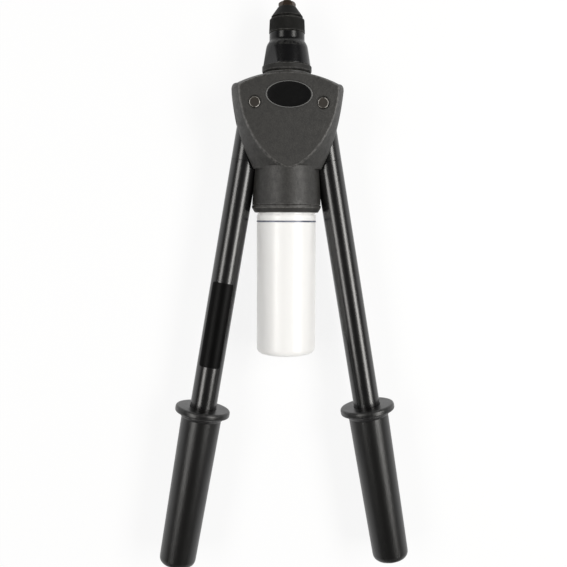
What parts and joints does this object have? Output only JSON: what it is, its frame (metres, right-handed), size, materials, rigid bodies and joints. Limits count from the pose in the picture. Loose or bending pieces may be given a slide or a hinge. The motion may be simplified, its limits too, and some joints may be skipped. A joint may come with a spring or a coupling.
{
  "type": "lever blind riveter",
  "caption": "Two-handed long-arm lever tool that sets blind rivets: hinged tube handles pull a jaw head through toggle links, with a catch bottle for spent mandrels.",
  "frame": {"origin": "middle of the bounding box's bottom face, tool lying on its back with the levers closed", "axes": "+Y towards the nose, +Z the front face with the shield, +X to the right seen from the front"},
  "size_m": [0.2126, 0.4699, 0.0564],
  "materials": {
    "cast_housing": "matte dark grey textured powder coat on die-cast aluminium",
    "black_steel": "polished blackened steel",
    "matte_steel": "matte blackened steel",
    "black_paint": "semi-gloss black paint on steel",
    "bronzed_steel": "brown bronzed steel",
    "bright_steel": "ground and zinc plated steel",
    "grip_rubber": "satin black moulded rubber",
    "plate_black": "bare black plate",
    "bottle_plastic": "translucent milky plastic",
    "band_grey": "blue-grey sealing band"
  },
  "bodies": {
    "housing": {"barrel_lock_ring": "matte_steel", "front_housing": "cast_housing", "housing_screw_left": "matte_steel", "housing_screw_right": "matte_steel", "left_fulcrum_pin": "matte_steel", "left_pin_clip": "bright_steel", "name_plate": "plate_black", "neck_ring": "cast_housing", "nose_barrel": "black_steel", "nose_cap": "matte_steel", "nosepiece": "bronzed_steel", "rear_housing": "cast_housing", "right_fulcrum_pin": "matte_steel", "right_pin_clip": "bright_steel"},
    "left_lever": {"left_grip": "grip_rubber", "left_lever_fork": "black_paint", "left_link_pin": "bright_steel", "left_tube": "black_paint", "left_tube_pin": "bright_steel"},
    "right_lever": {"right_grip": "grip_rubber", "right_lever_fork": "black_paint", "right_link_pin": "bright_steel", "right_tube": "black_paint", "right_tube_pin": "bright_steel"},
    "left_link": {"left_link": "bright_steel"},
    "right_link": {"right_link": "bright_steel"},
    "pull_head": {"case_lock_nut": "bright_steel", "crosshead": "bright_steel", "crosshead_nut": "bright_steel", "jaw_case": "bright_steel", "jaw_spring": "bright_steel", "left_crosshead_pin": "bright_steel", "pull_tube": "bright_steel", "right_crosshead_pin": "bright_steel"},
    "jaw_pusher": {"jaw_pusher": "bright_steel"},
    "jaw_1": {"jaw_1": "bright_steel"},
    "jaw_2": {"jaw_2": "bright_steel"},
    "jaw_3": {"jaw_3": "bright_steel"},
    "bottle": {"bottle": "bottle_plastic", "bottle_band": "band_grey"}
  },
  "joints": [
    {"name": "left_lever_hinge", "type": "hinge", "parent": "housing", "child": "left_lever", "pos_m": [-0.0266, 0.1478, 0.0282], "axis": [0, 0, -1], "range_deg": [0, 45]},
    {"name": "right_lever_hinge", "type": "hinge", "parent": "housing", "child": "right_lever", "pos_m": [0.0266, 0.1478, 0.0282], "axis": [0, 0, 1], "range_deg": [0, 45]},
    {"name": "left_link_hinge", "type": "hinge", "parent": "left_lever", "child": "left_link", "pos_m": [-0.03401, 0.13712, 0.0282], "axis": [0, 0, -1], "range_deg": [-54, 0]},
    {"name": "right_link_hinge", "type": "hinge", "parent": "right_lever", "child": "right_link", "pos_m": [0.03401, 0.13712, 0.0282], "axis": [0, 0, 1], "range_deg": [-54, 0]},
    {"name": "pull_head_slide", "type": "slide", "parent": "housing", "child": "pull_head", "axis": [0, 1, 0], "range_m": [0, 0.01135]},
    {"name": "jaw_pusher_slide", "type": "slide", "parent": "pull_head", "child": "jaw_pusher", "axis": [0, -1, 0], "range_m": [0, 0.0022], "stiffness_N_per_m": 1500, "springref_m": -0.002, "deforming": ["jaw_spring"]},
    {"name": "jaw_1_slide", "type": "slide", "parent": "pull_head", "child": "jaw_1", "axis": [0, -0.9659, 0.2588], "range_m": [0, 0.0023]},
    {"name": "jaw_2_slide", "type": "slide", "parent": "pull_head", "child": "jaw_2", "axis": [0.2241, -0.9659, -0.1294], "range_m": [0, 0.0023]},
    {"name": "jaw_3_slide", "type": "slide", "parent": "pull_head", "child": "jaw_3", "axis": [-0.2241, -0.9659, -0.1294], "range_m": [0, 0.0023]},
    {"name": "bottle_removal", "type": "slide", "parent": "housing", "child": "bottle", "axis": [0, -1, 0], "range_m": [0, 0.03]}
  ],
  "couplings": [
    {"joint": "right_lever_hinge", "follows": "left_lever_hinge", "ratio": 1},
    {"joint": "left_link_hinge", "follows": "left_lever_hinge", "ratio": -1.1992},
    {"joint": "right_link_hinge", "follows": "left_lever_hinge", "ratio": -1.1992},
    {"joint": "pull_head_slide", "follows": "left_lever_hinge", "m_per_rad": 0.014446},
    {"joint": "jaw_1_slide", "follows": "jaw_pusher_slide", "ratio": 1.0353},
    {"joint": "jaw_2_slide", "follows": "jaw_pusher_slide", "ratio": 1.0353},
    {"joint": "jaw_3_slide", "follows": "jaw_pusher_slide", "ratio": 1.0353}
  ]
}
